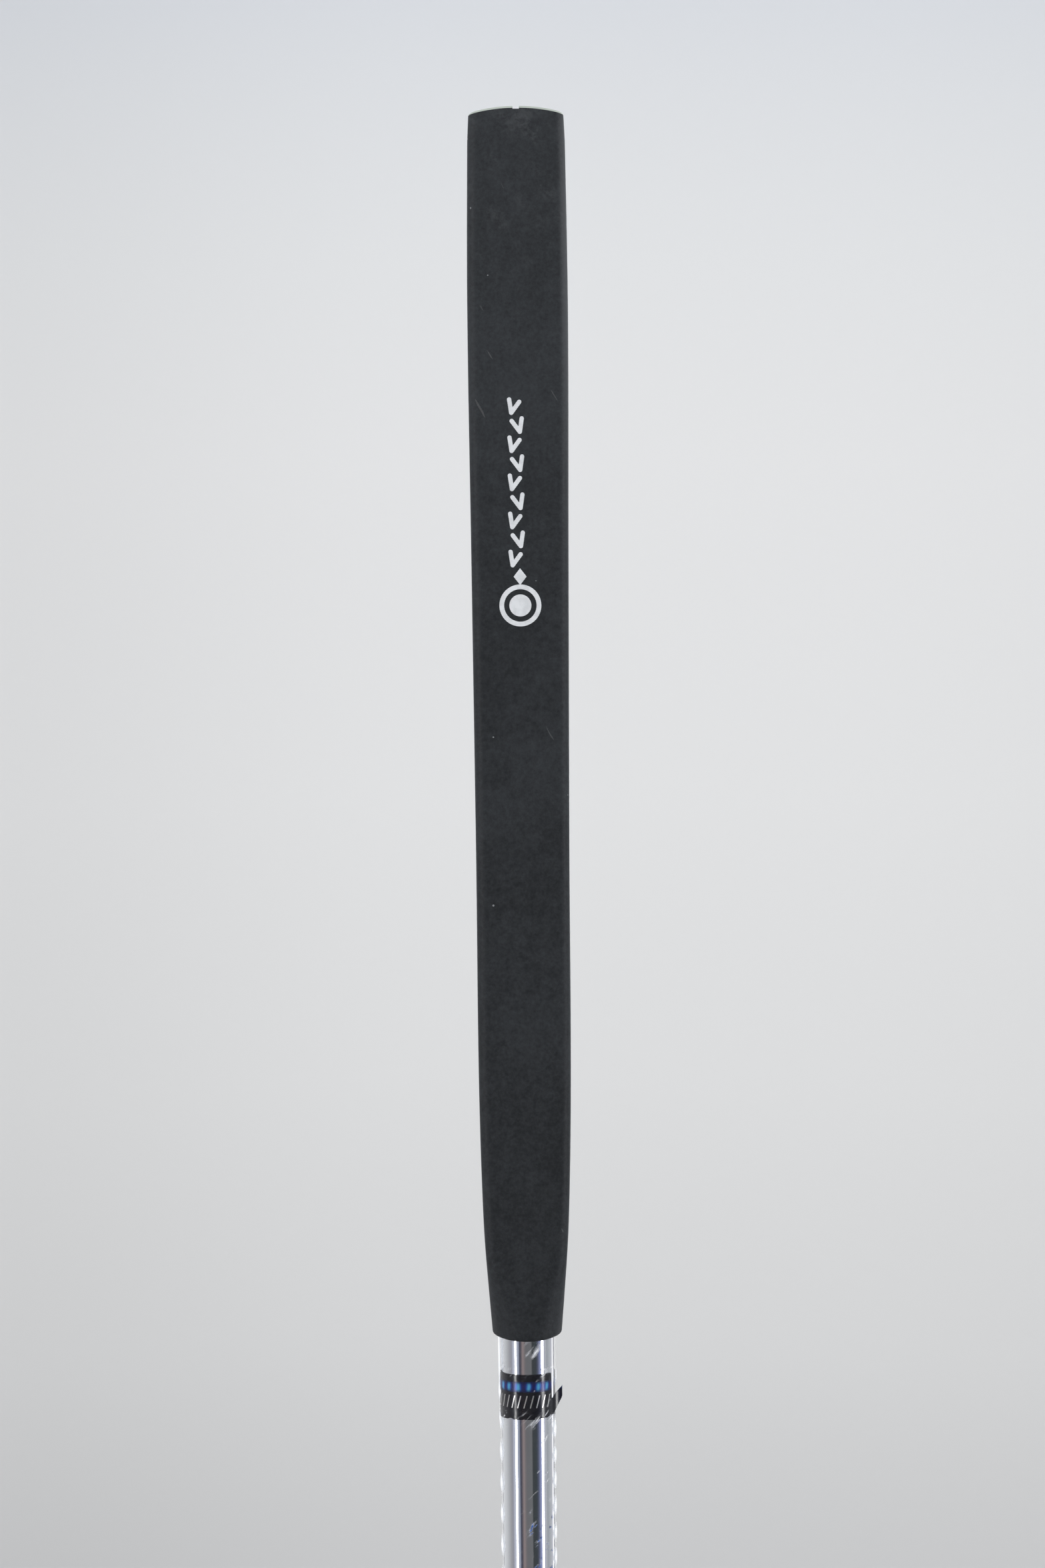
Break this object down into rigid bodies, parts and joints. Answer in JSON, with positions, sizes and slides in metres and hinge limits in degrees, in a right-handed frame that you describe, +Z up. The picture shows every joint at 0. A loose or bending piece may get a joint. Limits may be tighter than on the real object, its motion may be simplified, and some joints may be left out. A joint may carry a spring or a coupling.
{
  "type": "blade putter",
  "caption": "Right-handed blade putter with an offset neck, a stepless chrome shaft and a flat-fronted black rubber grip, standing at address.",
  "frame": {"origin": "middle of the flat sole, on the ground, halfway along the head", "axes": "+X is the target direction, out of the face; +Z is up; +Y runs from toe to heel, and the shaft leans towards +Y at a lie of 70 degrees"},
  "size_m": [0.0442, 0.3951, 0.8139],
  "materials": {
    "grip_rubber": "matt moulded rubber, charcoal black, slightly dusty",
    "shaft_chrome": "mirror-bright plated steel",
    "band_vinyl": "black printed film with a blue iridescent stripe and silver dashes",
    "clear_wrap": "clear protective film, loosely wrapped",
    "ferrule_black": "polished black",
    "satin_steel": "satin stainless steel, fine milling marks",
    "insert_alloy": "dark anodised, milled face",
    "pad_foam": "thin elastomer sheet",
    "screw_steel": "blackened steel",
    "weight_steel": "turned stainless steel",
    "ring_rubber": "black rubber ring",
    "sight_enamel": "white enamel on metal",
    "tape_cloth": "cream double-sided cloth tape"
  },
  "bodies": {
    "club": {"head_body": "satin_steel", "sight_line": "sight_enamel", "face_insert": "insert_alloy", "insert_pad": "pad_foam", "insert_screw_heel": "screw_steel", "insert_screw_toe": "screw_steel", "neck": "satin_steel", "neck_screw_inner": "screw_steel", "neck_screw_outer": "screw_steel", "ferrule": "ferrule_black", "shaft": "shaft_chrome", "shaft_band": "band_vinyl", "shaft_wrap": "clear_wrap", "grip_sleeve": "grip_rubber", "grip_cap": "grip_rubber", "grip_tape": "tape_cloth"},
    "toe_ring": {"toe_weight_ring": "ring_rubber"},
    "toe_plug": {"toe_weight": "weight_steel"},
    "heel_ring": {"heel_weight_ring": "ring_rubber"},
    "heel_plug": {"heel_weight": "weight_steel"}
  },
  "joints": [
    {"name": "toe_weight_travel", "type": "slide", "parent": "club", "child": "toe_ring", "axis": [0, 0, -1], "range_m": [0, 0.005]},
    {"name": "toe_weight_turn", "type": "hinge", "parent": "toe_ring", "child": "toe_plug", "pos_m": [-0.005, -0.043, 0.005], "axis": [0, 0, -1], "range_deg": [0, 1800]},
    {"name": "heel_weight_travel", "type": "slide", "parent": "club", "child": "heel_ring", "axis": [0, 0, -1], "range_m": [0, 0.005]},
    {"name": "heel_weight_turn", "type": "hinge", "parent": "heel_ring", "child": "heel_plug", "pos_m": [-0.005, 0.043, 0.005], "axis": [0, 0, -1], "range_deg": [0, 1800]}
  ],
  "couplings": [
    {"joint": "toe_weight_travel", "follows": "toe_weight_turn", "m_per_rad": 0.000159},
    {"joint": "heel_weight_travel", "follows": "heel_weight_turn", "m_per_rad": 0.000159}
  ]
}
